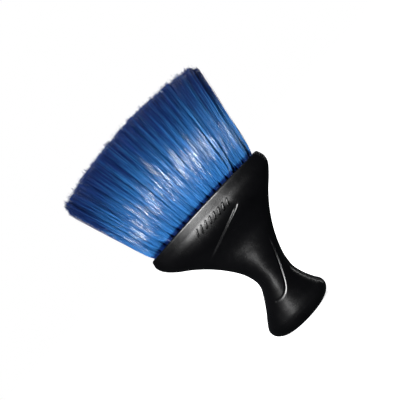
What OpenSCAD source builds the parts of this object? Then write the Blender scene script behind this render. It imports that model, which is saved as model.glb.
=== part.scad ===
// Neck duster brush: a hollow two-shell handle that stands on its own foot, and a fan of
// nylon tufts set in a block in the handle's mouth.
// +Z runs from the foot to the tips, +X across the width, and the front faces -Y.
// The origin is on the base plane, under the middle of the fan.

/* [Handle] */
// Height of the handle, from the base plane to the corners of the mouth's rim
handle_h = 97.2; // [96:0.1:99]
// How much higher the middle of the rim is than its corners
rim_arch = 1.8; // [0:0.2:2.4]
// Wall thickness of the two shells
wall = 2.2; // [1.8:0.1:2.6]
// Height of the rounding around the foot
foot_round_h = 7.5; // [6.5:0.1:8]
// How far the rounding draws the flat underside in at each side
foot_round_w = 11.3; // [8:0.1:11.3]
// How far the rounding draws the flat underside in at the front and the rear
foot_round_d = 5.2; // [4:0.1:6]
// How far the parting plane of the shells lies in front of the middle
parting = 4; // [2:0.5:5]
// Radius of the rounded rim of the mouth
rim_r = 1.5; // [0.6:0.1:1.6]

/* [Mouth and block] */
// Half width of the mouth's opening
mouth_half_w = 47.8; // [47:0.1:48]
// Half depth of the mouth's opening
mouth_half_d = 12.1; // [12:0.1:12.3]
// Thickness of the tuft block
block_t = 7.5; // [6.5:0.5:8]
// How far the block's face lies below the rim
block_recess = 2.5; // [1.5:0.5:3]
// Glue gap around the block
block_gap = 0.2; // [0.1:0.05:0.3]

/* [Tufts] */
// Height of the longest tufts above the base plane
brush_h = 169.7; // [160:0.1:175]
// Radius of the shallow arc that the tips are trimmed to
trim_r = 320; // [250:10:500]
// Distance between the tufts of a row
tuft_pitch = 5.3; // [5.1:0.1:5.4]
// Distance between the rows
row_pitch = 4.3; // [4.2:0.05:4.35]
// Radius of the holes that the tufts are set in
hole_r = 2; // [1.8:0.05:2]
// Radius of a tuft at its tips, where its filaments have spread
tip_r = 3.1; // [2.6:0.1:3.1]
// Lean of the outermost tufts of the middle row
fan_angle = 13.5; // [10:0.5:14]
// Lean of the outer rows to the front and the rear
row_angle = 1.4; // [1:0.1:2]

/* [Anchors] */
// Length of the flat wire that holds a tuft in its hole
anchor_l = 4.6; // [4.4:0.1:4.8]
// Thickness of the wire
anchor_t = 0.35; // [0.3:0.05:0.5]
// Height of the wire
anchor_h = 1.6; // [1.2:0.1:1.8]

/* [Locating pegs] */
// Radius of the pegs on the rear shell
peg_r = 2; // [1.6:0.1:2.2]
// Depth that a peg reaches into the front shell
peg_l = 4; // [3:0.5:4.5]
// Radius of the bosses around the pegs and their sockets
boss_r = 3.8; // [3.4:0.1:4]

/* [Hidden] */

// Stations up the handle: height, left edge, right edge, half depth, squareness, lift of the middle
stations = [
    [foot_round_h, -30.9, 18.6, 17.0, 2.1, 0],
    [10, -30.6, 18.2, 16.85, 2.1, 0],
    [14.2, -27.6, 15.9, 16.2, 2.1, 0],
    [20.7, -22.0, 13.4, 15.2, 2.1, 0],
    [27.7, -16.8, 12.0, 14.5, 2.1, 0],
    [33.7, -13.2, 12.6, 13.75, 2.1, 0],
    [39.7, -12.5, 14.2, 13.0, 2.1, 0],
    [47.7, -14.6, 17.7, 12.1, 2.15, 0],
    [56.7, -19.8, 22.9, 11.2, 2.15, 0],
    [65.7, -26.8, 29.6, 11.1, 2.2, 0],
    [73.7, -34.8, 37.1, 13.0, 2.2, 0],
    [80.7, -43.4, 44.9, 15.3, 2.25, 0],
    [86.7, -48.8, 50.4, 15.45, 2.3, rim_arch / 3],
    [91.8, -50.8, 51.8, 14.55, 2.35, rim_arch * 0.7],
    [handle_h - rim_r, -49.9, 50.8, 13.9, 2.55, rim_arch]
];
last = len(stations) - 1;
arc_steps = 28;
outer_steps = 3;
round_steps = 5;
floor_t = 2.6;

// Heights of the block's two faces and of the ledge rib under it
block_top = handle_h - block_recess;
block_low = block_top - block_t;
ledge_w = 1.7;
ledge_low = block_low - 5;
hole_floor = block_low + 2;
anchor_lift = 0.8;
boss_low = 9;
tuft_r = hole_r - 0.05;

// Tufts in each row, from the front row to the rear row, staggered like a honeycomb
row_counts = [11, 16, 17, 16, 11];
row_count = len(row_counts);
widest_x = (max(row_counts) - 1) / 2 * tuft_pitch;

// Centres of the locating pegs, as x and z
pegs = [[-20, 70.7], [22, 70.7], [1.5, 48.7], [-6, 17]];

// A value between p1 and p2 on a smooth curve that also heeds the neighbours p0 and p3
function smooth(p0, p1, p2, p3, t) =
    p1 + 0.5 * t * (p2 - p0 + t * (2 * p0 - 5 * p1 + 4 * p2 - p3 + t * (3 * (p1 - p2) + p3 - p0)));

// The handle's section at place s along the list of stations
function section(s) =
    let (i = min(floor(s), last - 1))
    smooth(stations[max(i - 1, 0)], stations[i], stations[i + 1], stations[min(i + 2, last)], s - i);

// The same section, drawn in by a margin in width and depth
function drawn_in(g, w, d) = [g[0], g[1] + w, g[2] - w, g[3] - d, g[4], g[5]];

// A point of a section at angle a, counted from its +X edge towards side -1 or +1 of Y
function on_section(g, side, a) =
    let (middle = (g[1] + g[2]) / 2, half_w = (g[2] - g[1]) / 2, power = 2 / g[4],
        along = sign(cos(a)) * pow(abs(cos(a)), power))
    [middle + half_w * along, side * g[3] * sign(sin(a)) * pow(abs(sin(a)), power),
        g[0] + g[5] * (1 - along * along)];

// A shell's part of a section, from the +X edge to the -X edge. It begins and ends on the parting
// plane, and a section that is shallower than that closes up onto the plane
function shell_ring(g, side) =
    let (deep = g[3] > parting, edge = deep ? asin(pow(parting / g[3], g[4] / 2)) : 0)
    [for (k = [0:arc_steps])
        let (t = k / arc_steps, p = on_section(g, side, t * 180 - side * edge * (1 - 2 * t)))
        deep && k > 0 && k < arc_steps ? p
            : deep ? [p[0], -parting, p[2]]
            : [g[2] + (g[1] - g[2]) * t, -parting, g[0]]];

// The rounded edge of the foot, from the flat underside up to the first station
foot_rings = [for (k = [0:round_steps - 1])
    let (a = 90 * k / round_steps, pull = 1 - sin(a), g = stations[0])
    drawn_in([foot_round_h * (1 - cos(a)), g[1], g[2], g[3], g[4], 0], foot_round_w * pull, foot_round_d * pull)];

// The rounded rim of the mouth
rim_rings = [for (k = [1:3])
    let (a = 30 * k, pull = rim_r * (1 - cos(a)), g = stations[last])
    [g[0] + rim_r * sin(a), g[1] + pull, g[2] - pull, g[3] - pull, g[4], g[5]]];

body_rings = [for (s = [0:1 / outer_steps:last]) section(s)];
outer_rings = concat(foot_rings, body_rings, rim_rings);

// The opening's own section at a height
function mouth_ring(z, pull, lift = 0) =
    [z, pull - mouth_half_w, mouth_half_w - pull, mouth_half_d - pull, 2.6, lift];

// Inside, every ring pairs with one outside. The floor of the foot closes up onto the parting plane
lower_rings = [for (g = concat(foot_rings, body_rings))
    if (g[0] < ledge_low) drawn_in(g, wall, g[0] < floor_t ? g[3] : wall)];
neck_count = len(lower_rings);
mouth_count = len(outer_rings) - neck_count;
// Under the block a ledge rib stands in from the wall
function rib_ring(g, pull) = [g[0], g[1] + wall, g[2] - wall, mouth_half_d - pull, g[4], 0];
ledge_rings = [
    rib_ring(outer_rings[neck_count], ledge_w / 3),
    rib_ring(outer_rings[neck_count + 1], ledge_w),
    mouth_ring(block_low, ledge_w),
    mouth_ring(block_low, 0)
];
mouth_steps = mouth_count - len(ledge_rings);
mouth_rings = [for (k = [1:mouth_steps])
    mouth_ring(block_low + (handle_h - block_low) * k / mouth_steps, 0, rim_arch * k / mouth_steps)];
inner_rings = concat(lower_rings, ledge_rings, mouth_rings);

// One shell. Every loop is an outer ring and its inner ring, back to back
module shell(side) {
    loops = [for (i = [0:len(outer_rings) - 1])
        let (outer = shell_ring(outer_rings[i], side), inner = shell_ring(inner_rings[i], side))
        concat(outer, [for (k = [arc_steps:-1:0]) inner[k]])];
    tube(loops, side > 0, true);
}

// A closed skin over loops of points. A hollow one is capped by strips across its wall
module tube(loops, turned, hollow) {
    n = len(loops[0]);
    top = (len(loops) - 1) * n;
    skin = [for (i = [0:len(loops) - 2], k = [0:n - 1])
        let (a = i * n + k, b = i * n + (k + 1) % n)
        each [[a, b, b + n], [a, b + n, a + n]]];
    // Both ends of a loop lie on the parting plane, so each half is cut towards its own end: no
    // triangle has all its corners on one line
    strips = [for (k = [0:n / 2 - 2])
        let (j = n - 1 - k,
            cut = k < n / 4 ? [[k + 1, k, j], [k + 1, j, j - 1]] : [[k + 1, k, j - 1], [k, j, j - 1]])
        each concat(cut, [for (f = cut) [top + f[2], top + f[1], top + f[0]]])];
    lids = [[for (k = [n - 1:-1:0]) k], [for (k = [0:n - 1]) top + k]];
    faces = concat(skin, hollow ? strips : lids);
    flipped = [for (f = faces) [for (i = [len(f) - 1:-1:0]) f[i]]];
    polyhedron(points = [for (l = loops) each l], faces = turned ? flipped : faces);
}

// The space inside the middle of the wall, which trims the bosses to the shells
module inside_of_wall() {
    rings = [for (g = body_rings) if (g[0] > boss_low && g[0] < ledge_low) drawn_in(g, wall / 2, wall / 2)];
    loops = [for (g = rings) [for (k = [0:2 * arc_steps - 1]) on_section(g, -1, 180 * k / arc_steps)]];
    tube(loops, false, false);
}

// Bosses around every peg, standing off the inside of one shell
module bosses(side) {
    intersection() {
        for (p = pegs)
            translate([p[0], -parting, p[1]])
                rotate([side < 0 ? 90 : -90, 0, 0])
                    cylinder(r = boss_r, h = 24, $fn = 48);
        inside_of_wall();
    }
}

module peg_shapes(radius, length) {
    for (p = pegs)
        translate([p[0], -parting, p[1]])
            rotate([90, 0, 0])
                translate([0, 0, -1])
                    cylinder(r = radius, h = length + 1, $fn = 48);
}

module front_shell() {
    color("#18181a")
    difference() {
        union() {
            shell(-1);
            bosses(-1);
        }
        peg_shapes(peg_r + 0.05, peg_l + 0.5);
    }
}

module rear_shell() {
    color("#141416")
    union() {
        shell(1);
        bosses(1);
        peg_shapes(peg_r, peg_l);
    }
}

// Places its children on the axis of one tuft, with z = 0 at the floor of its hole
module on_tuft(row, i) {
    x = (i - (row_counts[row] - 1) / 2) * tuft_pitch;
    y = (row - (row_count - 1) / 2) * row_pitch;
    lean_x = fan_angle * x / widest_x;
    lean_y = row_angle * y / row_pitch / 2;
    translate([x, y, block_top])
        rotate([-lean_y, lean_x, 0])
            translate([0, 0, hole_floor - block_top])
                children();
}

module anchor() {
    translate([-anchor_l / 2, -anchor_t / 2, anchor_lift])
        cube([anchor_l, anchor_t, anchor_h]);
}

module tuft_block() {
    plan = [for (side = [-1, 1])
        each [for (k = [0:arc_steps * 2 - 1])
            let (a = 180 * (k / arc_steps / 2 + (side < 0 ? 0 : 1)), c = cos(a), s = sin(a), e = 2 / 2.6)
            [(mouth_half_w - block_gap) * sign(c) * pow(abs(c), e),
                (mouth_half_d - block_gap) * sign(s) * pow(abs(s), e)]]];
    color("#1c1c1f")
    difference() {
        translate([0, 0, block_low])
            linear_extrude(height = block_t)
                polygon(plan);
        for (row = [0:row_count - 1])
            for (i = [0:row_counts[row] - 1])
                on_tuft(row, i) {
                    cylinder(r = hole_r, h = block_t + 2, $fn = 32);
                    anchor();
                }
    }
}

// A row of tufts: each is a bundle folded around its anchor, spreading towards its tips
module tuft_row(row) {
    neck = block_top - hole_floor;
    for (i = [0:row_counts[row] - 1]) {
        x = (i - (row_counts[row] - 1) / 2) * tuft_pitch;
        reach = x * (1 + (brush_h - block_top) * tan(fan_angle) / widest_x);
        tip_z = brush_h - reach * reach / (2 * trim_r);
        length = (tip_z - hole_floor) / cos(fan_angle * x / widest_x);
        color("#2f6fb5")
        on_tuft(row, i)
            difference() {
                union() {
                    cylinder(r = tuft_r, h = neck, $fn = 32);
                    translate([0, 0, neck])
                        cylinder(r1 = tuft_r, r2 = tip_r, h = length - neck, $fn = 32);
                }
                anchor();
            }
    }
}

module anchor_row(row) {
    color("#b8bcc2")
    for (i = [0:row_counts[row] - 1])
        on_tuft(row, i)
            anchor();
}

front_shell();
rear_shell();
tuft_block();
tuft_row(0);  // tuft_row_1
tuft_row(1);  // tuft_row_2
tuft_row(2);  // tuft_row_3
tuft_row(3);  // tuft_row_4
tuft_row(4);  // tuft_row_5
anchor_row(0);  // anchor_row_1
anchor_row(1);  // anchor_row_2
anchor_row(2);  // anchor_row_3
anchor_row(3);  // anchor_row_4
anchor_row(4);  // anchor_row_5
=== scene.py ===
import math

import bpy
import numpy as np
from mathutils import Matrix, Vector


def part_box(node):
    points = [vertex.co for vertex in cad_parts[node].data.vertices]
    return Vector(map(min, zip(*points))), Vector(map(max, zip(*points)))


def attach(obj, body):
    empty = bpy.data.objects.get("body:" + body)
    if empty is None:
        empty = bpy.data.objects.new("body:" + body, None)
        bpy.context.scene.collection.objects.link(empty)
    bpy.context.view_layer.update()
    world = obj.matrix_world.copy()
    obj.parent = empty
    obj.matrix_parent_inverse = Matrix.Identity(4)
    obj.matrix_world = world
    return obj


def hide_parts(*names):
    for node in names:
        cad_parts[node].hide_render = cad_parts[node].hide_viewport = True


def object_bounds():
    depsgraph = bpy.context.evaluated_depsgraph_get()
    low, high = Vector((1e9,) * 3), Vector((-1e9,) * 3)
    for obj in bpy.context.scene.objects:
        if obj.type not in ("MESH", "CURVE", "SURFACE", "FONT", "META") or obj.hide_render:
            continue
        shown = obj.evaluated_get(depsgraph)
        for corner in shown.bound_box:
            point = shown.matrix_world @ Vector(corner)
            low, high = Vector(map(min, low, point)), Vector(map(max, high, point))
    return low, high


# Neck duster brush, standing on its foot. The handle's shells are rebuilt finely around the CAD
# solids, and the tufts are real filaments. The brush's own sizes are in millimetres; the camera,
# the lights, the materials and the frame are in metres.
MM = 0.001

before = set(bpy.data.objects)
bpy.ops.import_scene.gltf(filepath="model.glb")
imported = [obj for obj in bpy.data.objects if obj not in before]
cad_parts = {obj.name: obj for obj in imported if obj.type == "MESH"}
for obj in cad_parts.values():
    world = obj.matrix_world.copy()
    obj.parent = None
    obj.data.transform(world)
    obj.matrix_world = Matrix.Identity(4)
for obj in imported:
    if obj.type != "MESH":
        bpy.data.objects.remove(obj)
cad_low, cad_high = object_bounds()
scene = bpy.context.scene

# ---------------------------------------------------------------- sizes taken from the frame
block_low, block_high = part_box("tuft_block")
BLOCK_LOW_MM = block_low[2] / MM
BLOCK_TOP_MM = block_high[2] / MM
BLOCK_RECESS = 2.5
MOUTH_MM = BLOCK_TOP_MM + BLOCK_RECESS   # the corners of the mouth's rim
TIP_MM = cad_high[2] / MM

# ---------------------------------------------------------------- camera
SPAN = 0.26            # width of the picture at the brush
DISTANCE = 0.52
SENSOR_MM = 36
CAMERA_AZIMUTH, CAMERA_ELEVATION, CAMERA_ROLL = 8.0, 2.0, -47.4
MOUTH_RIGHT, MOUTH_DOWN = 0.00195, 0.0048   # the mouth's place from the picture's middle


def direction(azimuth, elevation):
    """Unit vector towards an azimuth, counted from the front, and an elevation in degrees."""
    a, e = math.radians(azimuth), math.radians(elevation)
    return Vector((math.sin(a) * math.cos(e), -math.cos(a) * math.cos(e), math.sin(e)))


def place_camera():
    back = direction(CAMERA_AZIMUTH, CAMERA_ELEVATION)
    turn = back.to_track_quat("Z", "Y").to_matrix()
    turn = turn @ Matrix.Rotation(math.radians(CAMERA_ROLL), 3, "Z")
    data = bpy.data.cameras.new("camera")
    data.sensor_width = SENSOR_MM
    data.lens = SENSOR_MM * DISTANCE / SPAN
    camera = bpy.data.objects.new("camera", data)
    aim = Vector((0, 0, MOUTH_MM * MM)) - turn.col[0] * MOUTH_RIGHT + turn.col[1] * MOUTH_DOWN
    camera.matrix_world = Matrix.Translation(aim + back * DISTANCE) @ turn.to_4x4()
    scene.collection.objects.link(camera)
    scene.camera = camera


place_camera()


# ---------------------------------------------------------------- helpers
def smoothstep(a, b, t):
    """0 up to a and 1 from b on, with a smooth rise between them, or a fall where b is below a."""
    t = np.clip((t - a) / (b - a), 0, 1)
    return t * t * (3 - 2 * t)


def mesh_object(name, points_mm, quads, triangles=(), smooth=True):
    """An object from points in millimetres. Its triangles are end caps, and always flat."""
    mesh = bpy.data.meshes.new(name)
    quads = np.asarray(quads, dtype=np.int32).reshape(-1, 4)
    triangles = np.asarray(triangles, dtype=np.int32).reshape(-1, 3)
    loops = np.concatenate([quads.ravel(), triangles.ravel()])
    starts = np.concatenate([
        np.arange(len(quads)) * 4,
        len(quads) * 4 + np.arange(len(triangles)) * 3,
    ])
    mesh.vertices.add(len(points_mm))
    mesh.vertices.foreach_set("co", (np.asarray(points_mm) * MM).ravel())
    mesh.loops.add(len(loops))
    mesh.loops.foreach_set("vertex_index", loops)
    mesh.polygons.add(len(starts))
    mesh.polygons.foreach_set("loop_start", starts)
    mesh.polygons.foreach_set("use_smooth", np.arange(len(starts)) < (len(quads) if smooth else 0))
    mesh.update(calc_edges=True)
    mesh.validate()
    obj = bpy.data.objects.new(name, mesh)
    scene.collection.objects.link(obj)
    return obj


class Nodes:
    """A material's node tree, built by short calls."""

    def __init__(self, name):
        self.material = bpy.data.materials.new(name)
        self.material.use_nodes = True
        self.tree = self.material.node_tree
        self.shader = self.tree.nodes["Principled BSDF"]

    def add(self, kind, inputs=None, **settings):
        node = self.tree.nodes.new("ShaderNode" + kind)
        for key, value in settings.items():
            setattr(node, key, value)
        for key, value in (inputs or {}).items():
            if isinstance(value, bpy.types.NodeSocket):
                self.tree.links.new(value, node.inputs[key])
            else:
                node.inputs[key].default_value = value
        return node

    def ramp(self, factor, stops):
        node = self.add("ValToRGB", {"Fac": factor})
        elements = node.color_ramp.elements
        while len(elements) < len(stops):
            elements.new(0.5)
        for element, (place, colour) in zip(elements, stops):
            element.position = place
            element.color = (*colour, 1)
        return node.outputs["Color"]

    def range(self, value, low, high, to_low, to_high):
        node = self.add("MapRange", {"Value": value, "From Min": low, "From Max": high,
                                     "To Min": to_low, "To Max": to_high})
        return node.outputs["Result"]

    def noise(self, scale, detail=2.0, roughness=0.5, stretch=(1, 1, 1)):
        where = self.add("TexCoord").outputs["Object"]
        mapping = self.add("Mapping", {"Vector": where, "Scale": stretch})
        node = self.add("TexNoise", {"Vector": mapping.outputs["Vector"], "Scale": scale,
                                     "Detail": detail, "Roughness": roughness})
        return node.outputs["Fac"]

    def set(self, **values):
        for key, value in values.items():
            socket = self.shader.inputs[key.replace("_", " ")]
            if isinstance(value, bpy.types.NodeSocket):
                self.tree.links.new(value, socket)
            else:
                socket.default_value = value

    def bump(self, height, strength, distance):
        inputs = {"Height": height, "Strength": strength, "Distance": distance}
        return self.add("Bump", inputs).outputs["Normal"]


# ---------------------------------------------------------------- materials
def black_plastic():
    """Moulded black plastic: semi-gloss, with a fine even grain and faint handling marks."""
    n = Nodes("black_plastic")
    cloud = n.noise(55, 3, 0.55)
    marks = n.noise(260, 4, 0.6)
    grain = n.noise(2000, 3, 0.65)
    blacks = [(0.35, (0.0012, 0.0012, 0.0015)), (0.7, (0.0024, 0.0024, 0.0028))]
    n.set(Base_Color=n.ramp(cloud, blacks),
          Roughness=n.range(marks, 0.3, 0.75, 0.23, 0.29),
          Normal=n.bump(grain, 0.5, 0.00006))
    n.set(IOR=1.5, Specular_IOR_Level=0.27)
    return n.material


def block_plastic():
    """The tuft block's matt black plastic."""
    n = Nodes("block_plastic")
    cloud = n.noise(120, 3, 0.6)
    grain = n.noise(3000, 2, 0.6)
    n.set(Base_Color=n.ramp(cloud, [(0.3, (0.006, 0.006, 0.008)), (0.75, (0.014, 0.014, 0.018))]),
          Roughness=n.range(cloud, 0.3, 0.7, 0.55, 0.7),
          Normal=n.bump(grain, 0.3, 0.0001))
    return n.material


def anchor_steel():
    """Drawn steel wire, with fine lines along it."""
    n = Nodes("anchor_steel")
    lines = n.noise(900, 3, 0.6, stretch=(0.1, 1, 4))
    n.set(Base_Color=n.ramp(lines, [(0.3, (0.42, 0.43, 0.45)), (0.7, (0.62, 0.63, 0.65))]),
          Roughness=n.range(lines, 0.3, 0.7, 0.25, 0.45))
    n.set(Metallic=1.0)
    return n.material


def nylon():
    """Blue nylon filaments. Each has its own shade: a tone of its own, less painted shade, which darkens
    it towards its tip, at the fan's sides and over the mouth's rim.
    """
    n = Nodes("blue_nylon")
    shade = n.add("Attribute", attribute_name="shade").outputs["Fac"]
    blues = [(0.0, (0.003, 0.014, 0.09)), (0.3, (0.007, 0.032, 0.16)),
             (0.65, (0.030, 0.19, 0.52)), (1.0, (0.10, 0.38, 0.85))]
    n.set(Base_Color=n.ramp(shade, blues))
    n.set(Roughness=0.2, IOR=1.58, Specular_IOR_Level=1.0, Specular_Tint=(0.97, 1.0, 0.86, 1.0))
    return n.material


def floor_paper():
    """White paper. It glows a little more away from the object, so that no horizon shows."""
    n = Nodes("floor_paper")
    far = n.add("VectorMath", {0: n.add("TexCoord").outputs["Object"]}, operation="LENGTH")
    n.set(Base_Color=(0.9, 0.9, 0.9, 1), Roughness=0.9, Emission_Color=(1, 1, 1, 1))
    n.set(Emission_Strength=n.range(far.outputs["Value"], 0.1, 0.7, 0.85, 1.0))
    return n.material


# ---------------------------------------------------------------- handle
RIM_ARCH = 1.8         # the rim's middle stands this much over its corners
RIM_R = 1.5
FOOT_ROUND_H, FOOT_ROUND_W, FOOT_ROUND_D = 7.5, 11.3, 5.2
WALL = 2.2
FLOOR_T = 2.6
PARTING = 4.0          # the shells' parting plane, in front of the middle
SEAM_W, SEAM_D = 0.45, 0.32
SEAM_SHOULDER = 0.12   # how deep the groove still is at SEAM_W, as a share of SEAM_D
MOUTH_HALF_W, MOUTH_HALF_D, MOUTH_SQUARENESS = 47.8, 12.1, 2.6
# The ledge rib under the block: its width, its height, and how far below the block it has its full
# width. It begins with a narrow shoulder, and is full some rings further up
LEDGE_W, LEDGE_H, LEDGE_TOP = 1.7, 5, 2
LEDGE_SHOULDER, LEDGE_RINGS = 0.3, 5

# Height, left edge, right edge, half depth, squareness, lift of the middle
STATIONS = np.array([
    (FOOT_ROUND_H, -30.9, 18.6, 17.0, 2.1, 0),
    (10, -30.6, 18.2, 16.85, 2.1, 0),
    (14.2, -27.6, 15.9, 16.2, 2.1, 0),
    (20.7, -22.0, 13.4, 15.2, 2.1, 0),
    (27.7, -16.8, 12.0, 14.5, 2.1, 0),
    (33.7, -13.2, 12.6, 13.75, 2.1, 0),
    (39.7, -12.5, 14.2, 13.0, 2.1, 0),
    (47.7, -14.6, 17.7, 12.1, 2.15, 0),
    (56.7, -19.8, 22.9, 11.2, 2.15, 0),
    (65.7, -26.8, 29.6, 11.1, 2.2, 0),
    (73.7, -34.8, 37.1, 13.0, 2.2, 0),
    (80.7, -43.4, 44.9, 15.3, 2.25, 0),
    (86.7, -48.8, 50.4, 15.45, 2.3, RIM_ARCH / 3),
    (91.8, -50.8, 51.8, 14.55, 2.35, RIM_ARCH * 0.7),
    (MOUTH_MM - RIM_R, -49.9, 50.8, 13.9, 2.55, RIM_ARCH),
])
BODY_STEPS = 16        # rings between two stations
FOOT_STEPS, RIM_STEPS = 14, 7
ARC_STEPS = 150        # steps around a shell's skin


def smooth_station(s):
    """The section at place s along the stations, on the same curve as the CAD shells."""
    last = len(STATIONS) - 1
    i = min(int(s), last - 1)
    p0, p1, p2, p3 = (STATIONS[k] for k in (max(i - 1, 0), i, i + 1, min(i + 2, last)))
    t = s - i
    return p1 + 0.5 * t * (p2 - p0 + t * (2 * p0 - 5 * p1 + 4 * p2 - p3 + t * (3 * (p1 - p2) + p3 - p0)))


def drawn_in(g, w, d):
    """The section g, made narrower by w at each side and shallower by d."""
    return g + np.array((0, w, -w, -d, 0, 0))


def handle_rings():
    """Outer and inner sections, in pairs, from the foot's underside to the mouth's rim."""
    outer = []
    first, rim = STATIONS[0], STATIONS[-1]
    for k in range(FOOT_STEPS):
        a = math.radians(90 * k / FOOT_STEPS)
        pull = 1 - math.sin(a)
        ring = drawn_in(first, FOOT_ROUND_W * pull, FOOT_ROUND_D * pull)
        ring[0] = FOOT_ROUND_H * (1 - math.cos(a))
        outer.append(ring)
    last = len(STATIONS) - 1
    outer += [smooth_station(k / BODY_STEPS) for k in range(last * BODY_STEPS + 1)]
    for k in range(1, RIM_STEPS + 1):
        a = math.radians(90 * k / RIM_STEPS)
        pull = RIM_R * (1 - math.cos(a))
        ring = drawn_in(rim, pull, pull)
        ring[0] += RIM_R * math.sin(a)
        outer.append(ring)
    inner = [drawn_in(g, WALL, g[3] if g[0] < FLOOR_T else WALL)
             for g in outer if g[0] < BLOCK_LOW_MM - LEDGE_H]

    def mouth(z, pull, lift=0.0):
        half_w = MOUTH_HALF_W - pull
        return np.array((z, -half_w, half_w, MOUTH_HALF_D - pull, MOUTH_SQUARENESS, lift))

    def rib(g, z, width):
        return np.array((z, g[1] + WALL, g[2] - WALL, MOUTH_HALF_D - width, g[4], 0))

    under_rib = outer[len(inner)]
    inner.append(rib(under_rib, under_rib[0], LEDGE_W * LEDGE_SHOULDER))
    inner.append(rib(outer[len(inner) + LEDGE_RINGS], BLOCK_LOW_MM - LEDGE_TOP, LEDGE_W))
    inner += [mouth(BLOCK_LOW_MM, LEDGE_W), mouth(BLOCK_LOW_MM, 0)]
    steps = len(outer) - len(inner)
    for k in range(1, steps + 1):
        z = BLOCK_LOW_MM + (MOUTH_MM - BLOCK_LOW_MM) * k / steps
        inner.append(mouth(z, 0, RIM_ARCH * k / steps))
    return outer, inner


def angles_round(g, side, steps):
    """Angles of steps + 1 points, dense beside the parting plane, where the seam groove lies."""
    def at(y):
        return math.degrees(math.asin(min(1.0, (y / g[3]) ** (g[4] / 2)))) if g[3] > y else 90.0

    near = [at(PARTING - side * SEAM_W * widths) for widths in (0, 1, 1.5)]
    ends = [-side * a for a in near]
    start = -side * at(PARTING - side * SEAM_W * 2.2)
    middle = list(np.linspace(start, 180 - start, steps + 1 - 2 * len(ends)))
    return np.array(ends + middle + [180 - a for a in ends[::-1]])


def shell_ring(g, side, grooved):
    """Points of one shell's section, from its +X edge to its -X edge."""
    if g[3] <= PARTING:
        t = np.linspace(0, 1, ARC_STEPS + 2)
        return np.stack([g[2] + (g[1] - g[2]) * t, np.full_like(t, -PARTING), np.full_like(t, g[0])], -1)
    a = np.radians(angles_round(g, side, ARC_STEPS + 1))
    middle, half_w, power = (g[1] + g[2]) / 2, (g[2] - g[1]) / 2, 2 / g[4]
    c, s = np.cos(a), np.sin(a)
    along = np.sign(c) * np.abs(c) ** power
    x = middle + half_w * along
    y = side * g[3] * np.sign(s) * np.abs(s) ** power
    z = g[0] + g[5] * (1 - along ** 2)
    y[0] = y[-1] = -PARTING
    if grooved:
        x[0] -= SEAM_D
        x[-1] += SEAM_D
        x[1] -= SEAM_D * SEAM_SHOULDER
        x[-2] += SEAM_D * SEAM_SHOULDER
    return np.stack([x, y, z], -1)


# Two creases of the front shell, as x and z. The face sinks just above the top one, and sinks
# into the thumb scoop on the left of the low one
CREASE_TOP = np.array([(-25, 69.6), (-16.9, 71.9), (0, 77.4), (11, 81.0), (17.3, 83.1), (20.5, 84.1)])
CREASE_LOW = np.array([(-10.5, 22.3), (-7.0, 21.3), (-3.6, 21.9), (-0.6, 23.5), (2.6, 27.0), (5.3, 31.6),
                       (8.0, 36.3), (10.3, 40.9), (12.4, 45.6), (14.6, 51.0), (17.4, 57.0)])
STEP_W = 0.9           # width of a crease's step
TOP_SINK, TOP_REACH = 1.3, 7.0
LOW_SINK, LOW_REACH = 0.9, 8.0
GROOVE_D, GROOVE_OFF, GROOVE_W = 0.28, 0.3, 0.65
SCOOP_LOW, SCOOP_DEEPEST, SCOOP_TOP = 20.5, 44.0, 57.0   # heights
GROOVE_LOW, GROOVE_FULL, GROOVE_FADES = 20.0, 24.0, 46.0
SKIN_EDGE = 0.55       # share of a shell's depth over which the creases fade towards the seam


def off_line(points, line):
    """Signed distance from a polyline, positive on its left, and the share of its length there."""
    best = np.full(len(points), 1e9)
    signed, share = np.zeros(len(points)), np.zeros(len(points))
    lengths = np.hypot(*np.diff(line, axis=0).T)
    total, run = lengths.sum(), 0.0
    for a, b, length in zip(line[:-1], line[1:], lengths):
        d = b - a
        t = np.clip(((points - a) @ d) / (d @ d), 0, 1)
        off = points - (a + t[:, None] * d)
        dist = np.hypot(off[:, 0], off[:, 1])
        cross = d[0] * (points[:, 1] - a[1]) - d[1] * (points[:, 0] - a[0])
        nearer = dist < best
        best = np.where(nearer, dist, best)
        signed = np.where(nearer, np.sign(cross) * dist, signed)
        share = np.where(nearer, (run + t * length) / total, share)
        run += length
    return signed, share


def rounded_line(line, passes=2):
    """The polyline with its corners cut, so that the crease runs smoothly."""
    for _ in range(passes):
        a, b = line[:-1], line[1:]
        cut = np.stack([a * 0.75 + b * 0.25, a * 0.25 + b * 0.75], 1).reshape(-1, 2)
        line = np.concatenate([line[:1], cut, line[-1:]])
    return line


def panel_depth(x, z):
    """How far the creases sink the front face at x and z."""
    p = np.stack([x, z], -1)
    above, share = off_line(p, rounded_line(CREASE_TOP))
    top = TOP_SINK * smoothstep(0.0, 0.4, share) * smoothstep(1.0, 0.85, share)
    top = top * smoothstep(-STEP_W / 2, STEP_W / 2, above) * np.exp(-np.maximum(above, 0) / TOP_REACH)
    left, _ = off_line(p, rounded_line(CREASE_LOW))
    low = LOW_SINK * smoothstep(SCOOP_LOW, SCOOP_DEEPEST, z) * smoothstep(SCOOP_TOP, SCOOP_DEEPEST, z)
    low = low * smoothstep(-STEP_W / 2, STEP_W / 2, left)
    low = low * np.exp(-(np.maximum(left, 0) / LOW_REACH) ** 2)
    groove = GROOVE_D * np.exp(-((left - GROOVE_OFF) / GROOVE_W) ** 2)
    low = low + groove * smoothstep(GROOVE_LOW, GROOVE_FULL, z) * smoothstep(SCOOP_TOP, GROOVE_FADES, z)
    return top + low


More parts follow.
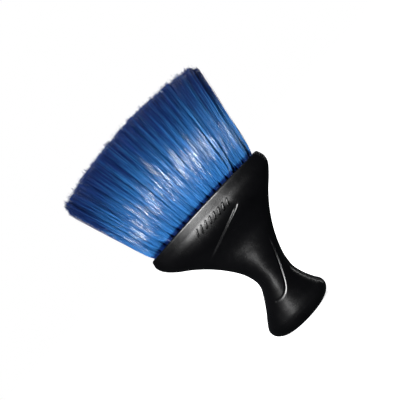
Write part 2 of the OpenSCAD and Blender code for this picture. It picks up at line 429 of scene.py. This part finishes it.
def build_shell(name, side, material):
    """A shell on one side of Y: loops of a skin ring and a wall ring, joined and capped."""
    outer, inner = handle_rings()
    loops = []
    for g_out, g_in in zip(outer, inner):
        skin = shell_ring(g_out, side, grooved=True)
        if side < 0:
            fade = SKIN_EDGE * max(g_out[3] - PARTING, 1)
            edge = np.minimum(1, (-skin[:, 1] - PARTING) / fade)
            edge = smoothstep(0, 1, edge)
            skin[:, 1] += panel_depth(skin[:, 0], skin[:, 2]) * edge
        loops.append(np.concatenate([skin, shell_ring(g_in, side, grooved=False)[::-1]]))
    points = np.concatenate(loops)
    n = len(loops[0])
    rows = np.arange(len(loops) - 1)[:, None] * n
    k = np.arange(n)[None, :]
    a, b = rows + k, rows + (k + 1) % n
    skin = np.stack([a, a + n, b + n, b], -1).reshape(-1, 4)
    half = np.arange(n // 2 - 1)
    low = np.stack([half, half + 1, n - 2 - half, n - 1 - half], -1)
    top = (len(loops) - 1) * n + low[:, ::-1]
    quads = np.concatenate([skin, low, top])
    if side > 0:
        quads = quads[:, ::-1]
    obj = mesh_object(name, points, quads)
    obj.data.materials.append(material)
    return obj


def front_depth(x, z):
    """How far in front of the middle plane the front face lies at x and z."""
    heights = np.array([smooth_station(k / 8)[0] for k in range((len(STATIONS) - 1) * 8 + 1)])
    g = smooth_station(float(np.interp(z, heights, np.arange(len(heights)) / 8)))
    middle, half_w = (g[1] + g[2]) / 2, (g[2] - g[1]) / 2
    share = min(0.999, abs((x - middle) / half_w))
    return g[3] * (1 - share ** g[4]) ** (1 / g[4])


# A row of plain slanted ribs on the head, moulded in low relief
RIB_COUNT, RIB_FROM, RIB_TO = 8, -12.4, 15.2
RIB_Z, RIB_HALF_L, RIB_HALF_W, RIB_RISE, RIB_SLANT = 89.2, 2.5, 0.8, 0.7, 0.55
RIB_AROUND, RIB_ALONG = 16, 12
RIB_SUNK = 0.02


def build_ribs(material):
    """Ribs that lie half sunk in the head's face, each a tube that narrows at its two ends."""
    points, quads, triangles = [], [], []
    around, along = RIB_AROUND, RIB_ALONG
    for x0 in np.linspace(RIB_FROM, RIB_TO, RIB_COUNT):
        start = len(points)
        for i in range(along + 1):
            t = 2 * i / along - 1
            narrow = math.sqrt(max(1 - abs(t) ** 8, 0.04))
            z = RIB_Z + RIB_HALF_L * t
            x = x0 + RIB_SLANT * (z - RIB_Z)
            face = front_depth(x, z - RIM_ARCH * 0.5)
            for j in range(around):
                a = 2 * math.pi * j / around
                c, s = math.cos(a), math.sin(a)
                dx = RIB_HALF_W * narrow * math.copysign(abs(c) ** 0.6, c)
                rise = RIB_RISE * narrow * math.copysign(abs(s) ** 0.6, s)
                points.append((x + dx, -face - rise + RIB_SUNK, z))
        for i in range(along):
            for j in range(around):
                a, b = start + i * around + j, start + i * around + (j + 1) % around
                quads.append((a, a + around, b + around, b))
        for ring, turn in ((start, 1), (start + along * around, -1)):
            cap = [ring + j for j in range(around)][::turn]
            triangles += [(cap[0], cap[j], cap[j + 1]) for j in range(1, around - 1)]
    obj = mesh_object("head_ribs", points, quads, triangles)
    obj.data.materials.append(material)
    return obj


# ---------------------------------------------------------------- bristles
ROW_COUNTS = (11, 16, 17, 16, 11)
OUTER_COUNT = min(ROW_COUNTS)               # the tufts of the front row and of the rear row
ROW_FILAMENTS = (315, 225, 212, 225, 315)   # in each tuft
TUFT_PITCH, ROW_PITCH = 5.3, 4.3
HOLE_R = 1.85
HALF_PACK = (len(ROW_COUNTS) - 1) / 2 * ROW_PITCH + HOLE_R
FILAMENT_R, TIP_TAPER = 0.105, 0.25         # the taper is a share of the radius
SEED = 7

# A tuft parts into strands of neighbours, which hang together and bend alike. Every strand has
# random numbers of its own, one column for each kind of scatter, and a spare one
STRANDS, STRAND_COLUMNS, STRANDS_WITHIN = 40, 7, 0.85
# How much the strands scatter, and the filaments within them
SCATTER = {
    "sideways": (0.3, 0.65),
    "length": (0.75, 0.35),
    "draw_at": (0.08, 0.02),
    "draw": (1.8, 0.4),
    "depth": (0.2, 0.25),
    "tone": (0.05, 0.09),
}

# Places along a filament are shares of its height, from its root in the block to its tip. The
# rings lie closer together around the mouth's rim, where the filament bends
RINGS = 15
ROOT_MM = BLOCK_TOP_MM - 1.0
MOUTH_AT = (MOUTH_MM + RIM_ARCH - ROOT_MM) / (TIP_MM - ROOT_MM)
LOW_RINGS = MOUTH_AT + np.array((-0.062, -0.015, 0.012, 0.035))
HIGH_RINGS = np.linspace(MOUTH_AT + 0.08, 0.99, RINGS - len(LOW_RINGS) - 1)
PLACES = np.concatenate([LOW_RINGS, HIGH_RINGS, [1.0]])[None, :]
ABOVE_RIM = np.maximum(PLACES - MOUTH_AT, 0)

# The fan's width at the rim and at the tips, as a multiple of its width at the block, and how
# far the strands and the filaments of one tuft part at the tips
RIM_SPREAD, FAN = 1.066, 1.47
STRANDS_PART, FILAMENTS_PART = 0.9, 0.45
TUFT_OPENS, OPENS_OVER = 0.6, 0.04          # just above the rim
SIDE_FROM, SIDE_SQUEEZE = 58.5, 0.36        # past this x the filaments are packed closer
# The ends of the outer rows lean outwards. The lean begins END_IN before the middle of a row's
# last hole, and is full END_OUT past it
END_SHIFT, END_SHIFT_OVER, END_SHIFT_BACK = 3.0, 0.1, 0.6
END_IN, END_OUT = 1.5, 1.9

# The tips are trimmed to a shallow arc with rounded corners. A few stand out or are cut short
TRIM_R, TRIM_DROP = 320.0, 0.6
CORNER_DROP, CORNER_FROM, CORNER_TO = 4.0, 58, 65
STRAY_SHARE, STRAY_MM = 0.05, (0.3, 2.2)
SHORT_SHARE, SHORT_MM = 0.1, 5

# From the front to the rear the pack swells above the rim, draws in further up and flares at the
# tips. It draws in lower down towards the sides of the fan
SWELL, SWELL_OVER = 2.3, 0.06
# It swells less where the outer rows end, and more past that, where the next rows come forward
LESS_AT_END, MORE_PAST_END = 1.7, 2.3
END_FROM, ROW_END, NEXT_FROM, NEXT_TO, NEXT_GONE = 23.5, 28.4, 30, 38, 46
DRAW_AT, DRAW_LOWER, DRAW_LOWER_X = 0.41, 0.24, 46
DRAW, DRAW_FROM, DRAW_TO = 5.8, -0.2, 0.17
FLARE, FLARE_FROM, FLARE_TO = 4.2, 0.5, 1.05
SIDE_ROWS_THINNER, THIN_FROM, THIN_TO = 0.4, 27, 36
CRIMP_MM, CRIMP_WAVES, CRIMP_FULL = 0.055, (1.0, 2.6), 0.25

# Shades run from 0, navy, to 1, light blue
SHADE = 0.63
# painted shade, taken off the shades towards the filaments' tips
TIPS_PAINTED_SHADE, TIPS_FROM, TIPS_TO = 0.39, 0.42, 0.98
# painted shade at the cut ends, and along the fan's sides from partway up
CUT_TIPS_PAINTED_SHADE, CUTS_FROM = 0.12, 0.9
SIDES_PAINTED_SHADE, SIDES_FROM, SIDES_TO = 0.2, 33, 45
SIDES_LOW, SIDES_FULL = 0.2, 0.7
# a painted shadow of the mouth's rim on the filaments' roots
MOUTH_PAINTED_SHADOW, SHADOW_TOP, SHADOW_LOW = 0.6, 3.0, 0.8


def rises(over):
    """From 0 at the rim towards 1, most of the way within the share over of the height."""
    return 1 - np.exp(-ABOVE_RIM / over)


def scatter(rng, own, kind):
    """Random amounts for filaments: a part of their strand's own, and a part of each one's own."""
    of_strand, of_filament = SCATTER[kind]
    return own[:, list(SCATTER).index(kind)] * of_strand + rng.normal(0, of_filament, len(own))


def filament_tips(rng, x, spread, own):
    """Where filaments end, as x and z. They start at x, and spread is their place in the tuft."""
    count = len(x)
    tip_x = x * FAN + spread + scatter(rng, own, "sideways")
    tip_x -= np.sign(tip_x) * SIDE_SQUEEZE * np.maximum(np.abs(tip_x) - SIDE_FROM, 0)
    trim = TIP_MM - TRIM_DROP - tip_x ** 2 / (2 * TRIM_R)
    trim = trim - CORNER_DROP * smoothstep(CORNER_FROM, CORNER_TO, np.abs(tip_x))
    tip_z = trim + scatter(rng, own, "length")
    stray = rng.uniform(0, 1, count) > 1 - STRAY_SHARE
    tip_z += np.where(stray, rng.uniform(*STRAY_MM, count), 0)
    short = rng.uniform(0, 1, count) > 1 - SHORT_SHARE
    tip_z -= np.where(short, rng.uniform(0, SHORT_MM, count), 0)
    return tip_x, tip_z


def filament_depths(rng, x, y, own):
    """How deep filaments that start at x and y lie in the pack, at all their places."""
    # the outermost tufts stand in fewer rows, so the pack is thinner there
    side = y / (HALF_PACK * (1 - SIDE_ROWS_THINNER * smoothstep(THIN_FROM, THIN_TO, np.abs(x))))
    draw_at = DRAW_AT - DRAW_LOWER * (x / DRAW_LOWER_X) ** 2 + scatter(rng, own, "draw_at")
    draw_by = DRAW + scatter(rng, own, "draw")
    near_end = smoothstep(END_FROM, ROW_END, np.abs(x)) * smoothstep(NEXT_FROM, ROW_END, np.abs(x))
    past_end = smoothstep(ROW_END, NEXT_FROM, np.abs(x)) * smoothstep(NEXT_GONE, NEXT_TO, np.abs(x))
    swell_by = SWELL - LESS_AT_END * near_end + MORE_PAST_END * past_end
    swell = swell_by[:, None] * rises(SWELL_OVER)
    draw = draw_by[:, None] * smoothstep(DRAW_FROM, DRAW_TO, PLACES - draw_at[:, None])
    flare = FLARE * smoothstep(FLARE_FROM, FLARE_TO, PLACES)
    depth = y[:, None] + side[:, None] * (swell - draw + flare)
    return depth + scatter(rng, own, "depth")[:, None] * PLACES


def add_crimp(rng, *axes):
    """Adds a slight wave of its own to each filament, in every one of the axes."""
    shape = (len(axes), len(axes[0]), 1)
    phase = rng.uniform(0, 2 * math.pi, shape)
    waves = rng.uniform(*CRIMP_WAVES, shape)
    size = rng.gamma(2.0, CRIMP_MM, shape)
    grown = smoothstep(0, CRIMP_FULL, PLACES)
    for k, axis in enumerate(axes):
        turned = phase[k] + 2 * math.pi * waves[k] * PLACES
        axis += (size[k] * np.sin(turned) - size[k] * np.sin(phase[k])) * grown


def filament_shades(rng, start_x, x, z, own):
    """Shades of filaments that start at start_x and pass through x and z: each one's own tone, less
    painted shade.
    """
    tone = scatter(rng, own, "tone")
    # each filament's own tone, less painted shade that grows towards its tip
    shade = SHADE + tone[:, None] - TIPS_PAINTED_SHADE * smoothstep(TIPS_FROM, TIPS_TO, PLACES)
    # painted shade darkens the fan along its sides and at the cut tips
    side_shade_mask = smoothstep(SIDES_FROM, SIDES_TO, np.abs(start_x))[:, None]
    shade = shade - SIDES_PAINTED_SHADE * side_shade_mask * smoothstep(SIDES_LOW, SIDES_FULL, PLACES)
    shade = shade - CUT_TIPS_PAINTED_SHADE * smoothstep(CUTS_FROM, 1.0, PLACES)
    # a painted shadow of the mouth darkens the filaments' roots
    over_rim = z - MOUTH_MM - RIM_ARCH * (1 - (x / MOUTH_HALF_W) ** 2)
    shade = shade - MOUTH_PAINTED_SHADOW * smoothstep(SHADOW_TOP, SHADOW_LOW, over_rim)
    return np.clip(shade, 0, 1)


def tuft_filaments(rng, row, tuft):
    """Centre lines of one tuft's filaments: (count, RINGS, 3) in millimetres, and their shades."""
    count = ROW_FILAMENTS[row]
    row_half = (ROW_COUNTS[row] - 1) / 2
    x0 = (tuft - row_half) * TUFT_PITCH
    y0 = (row - (len(ROW_COUNTS) - 1) / 2) * ROW_PITCH
    r = HOLE_R * np.sqrt(rng.uniform(0, 1, count))
    turn = rng.uniform(0, 2 * math.pi, count)
    off = np.stack([r * np.cos(turn), r * np.sin(turn)], -1)
    core = rng.uniform(-HOLE_R, HOLE_R, (STRANDS, 2)) * STRANDS_WITHIN
    strand = np.argmin(((off[:, None, :] - core[None]) ** 2).sum(2), axis=1)
    own = rng.normal(0, 1, (STRANDS, STRAND_COLUMNS))[strand]
    core = core[strand]

    start_x, start_y = x0 + off[:, 0], y0 + off[:, 1]
    spread = core[:, 0] * STRANDS_PART + (off[:, 0] - core[:, 0]) * FILAMENTS_PART
    tip_x, tip_z = filament_tips(rng, start_x, spread, own)
    z = ROOT_MM + (tip_z - ROOT_MM)[:, None] * PLACES

    # the filaments spread to fill the mouth, and run straight on from its rim
    rim_x = start_x * RIM_SPREAD
    x = start_x[:, None] + (rim_x - start_x)[:, None] * smoothstep(0, MOUTH_AT, PLACES)
    x = x + (tip_x - rim_x)[:, None] * ABOVE_RIM / (1 - MOUTH_AT)
    x += (off[:, 0] * TUFT_OPENS)[:, None] * rises(OPENS_OVER) * (1 - PLACES)
    if ROW_COUNTS[row] == OUTER_COUNT:
        last_x = row_half * TUFT_PITCH
        at_end = smoothstep(last_x - END_IN, last_x + END_OUT, np.abs(start_x))
        shift = np.sign(start_x) * at_end * END_SHIFT
        x += shift[:, None] * rises(END_SHIFT_OVER) * (1 - END_SHIFT_BACK * PLACES)

    y = filament_depths(rng, start_x, start_y, own)
    add_crimp(rng, x, y)
    return np.stack([x, y, z], -1), filament_shades(rng, start_x, x, z, own)


def build_tuft_row(row, material):
    """All filaments of a row of tufts: three-sided tubes along their centre lines."""
    rng = np.random.default_rng(SEED + row)
    made = [tuft_filaments(rng, row, tuft) for tuft in range(ROW_COUNTS[row])]
    lines = np.concatenate([m[0] for m in made])
    shades = np.concatenate([m[1] for m in made])
    count = len(lines)
    along = np.gradient(lines, axis=1)
    along /= np.linalg.norm(along, axis=2, keepdims=True)
    spin = rng.uniform(0, 2 * math.pi, count)
    start = np.stack([np.cos(spin), np.sin(spin), np.zeros(count)], -1)[:, None, :]
    u = start - (start * along).sum(2, keepdims=True) * along
    u /= np.linalg.norm(u, axis=2, keepdims=True)
    v = np.cross(along, u)
    taper = FILAMENT_R * (1 - TIP_TAPER * np.linspace(0, 1, RINGS) ** 3)[None, :, None]
    corners = []
    for k in range(3):
        a = 2 * math.pi * k / 3
        corners.append(lines + taper * (u * math.cos(a) + v * math.sin(a)))
    points = np.stack(corners, 2).reshape(-1, 3)

    base = (np.arange(count) * RINGS * 3)[:, None, None]
    ring = (np.arange(RINGS - 1) * 3)[None, :, None]
    k = np.arange(3)[None, None, :]
    a, b = base + ring + k, base + ring + (k + 1) % 3
    quads = np.stack([a, b, b + 3, a + 3], -1).reshape(-1, 4)
    first = base[:, 0, 0]
    last = first + (RINGS - 1) * 3
    caps = np.concatenate([
        np.stack([first + 2, first + 1, first], -1),
        np.stack([last, last + 1, last + 2], -1),
    ])
    obj = mesh_object(f"bristles_{row + 1}", points, quads, caps)
    attribute = obj.data.attributes.new("shade", "FLOAT", "POINT")
    attribute.data.foreach_set("value", np.repeat(shades.reshape(-1), 3).astype(np.float32))
    obj.data.materials.append(material)
    return obj


# ---------------------------------------------------------------- putting it together
plastic = black_plastic()
for side, node in ((-1, "front_shell"), (1, "rear_shell")):
    shell = build_shell("handle_" + node, side, plastic)
    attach(shell, "root")
    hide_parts(node)
ribs = build_ribs(plastic)
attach(ribs, "root")

blue = nylon()
for row in range(len(ROW_COUNTS)):
    bristles = build_tuft_row(row, blue)
    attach(bristles, "root")
    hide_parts(f"tuft_row_{row + 1}")

carried = {"tuft_block": block_plastic()}
steel = anchor_steel()
carried.update({f"anchor_row_{row + 1}": steel for row in range(len(ROW_COUNTS))})
for node, material in carried.items():
    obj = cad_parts[node]
    obj.data.materials.clear()
    obj.data.materials.append(material)


# ---------------------------------------------------------------- studio
FLOOR_HALF_MM = 4000
ROOM_COLOUR, ROOM_LIGHT = (0.8, 0.9, 1.0, 1), 0.05
LIT_POINT = Vector((0, 0, 0.1))


def studio():
    """White paper under the brush, a white surround, a dim room and softboxes."""
    corners = np.array([(-1, -1, 0), (1, -1, 0), (1, 1, 0), (-1, 1, 0)]) * FLOOR_HALF_MM
    floor = mesh_object("floor", corners, [(0, 1, 2, 3)], smooth=False)
    floor.data.materials.append(floor_paper())
    floor.visible_glossy = False
    floor.visible_diffuse = False

    world = bpy.data.worlds.new("studio")
    scene.world = world
    world.use_nodes = True
    tree = world.node_tree
    out = tree.nodes["World Output"]
    seen = tree.nodes["Background"]
    seen.inputs["Color"].default_value = (1, 1, 1, 1)
    seen.inputs["Strength"].default_value = 1.0
    room = tree.nodes.new("ShaderNodeBackground")
    room.inputs["Color"].default_value = ROOM_COLOUR
    room.inputs["Strength"].default_value = ROOM_LIGHT
    path = tree.nodes.new("ShaderNodeLightPath")
    mix = tree.nodes.new("ShaderNodeMixShader")
    tree.links.new(path.outputs["Is Camera Ray"], mix.inputs["Fac"])
    tree.links.new(room.outputs["Background"], mix.inputs[1])
    tree.links.new(seen.outputs["Background"], mix.inputs[2])
    tree.links.new(mix.outputs["Shader"], out.inputs["Surface"])

    def softbox(name, azimuth, elevation, distance, size, power):
        data = bpy.data.lights.new(name, "AREA")
        data.shape = "RECTANGLE"
        data.size, data.size_y = size
        data.energy = power
        obj = bpy.data.objects.new(name, data)
        away = direction(azimuth, elevation)
        obj.location = LIT_POINT + away * distance
        obj.rotation_mode = "QUATERNION"
        obj.rotation_quaternion = away.to_track_quat("Z", "Y")
        scene.collection.objects.link(obj)

    # name, azimuth, elevation, distance, width and height, watts
    softbox("key", -12, 24, 1.3, (0.17, 0.2), 35)
    softbox("low", -12, 6, 1.3, (0.12, 0.22), 1.6)
    softbox("top", 10, 75, 1.4, (0.8, 0.8), 2)
    softbox("edge", 128, 8, 1.4, (0.09, 1.2), 2.5)
    softbox("back", 180, 45, 1.5, (0.5, 0.4), 12)
    scene.view_settings.view_transform = "Standard"
    scene.view_settings.look = "None"


studio()
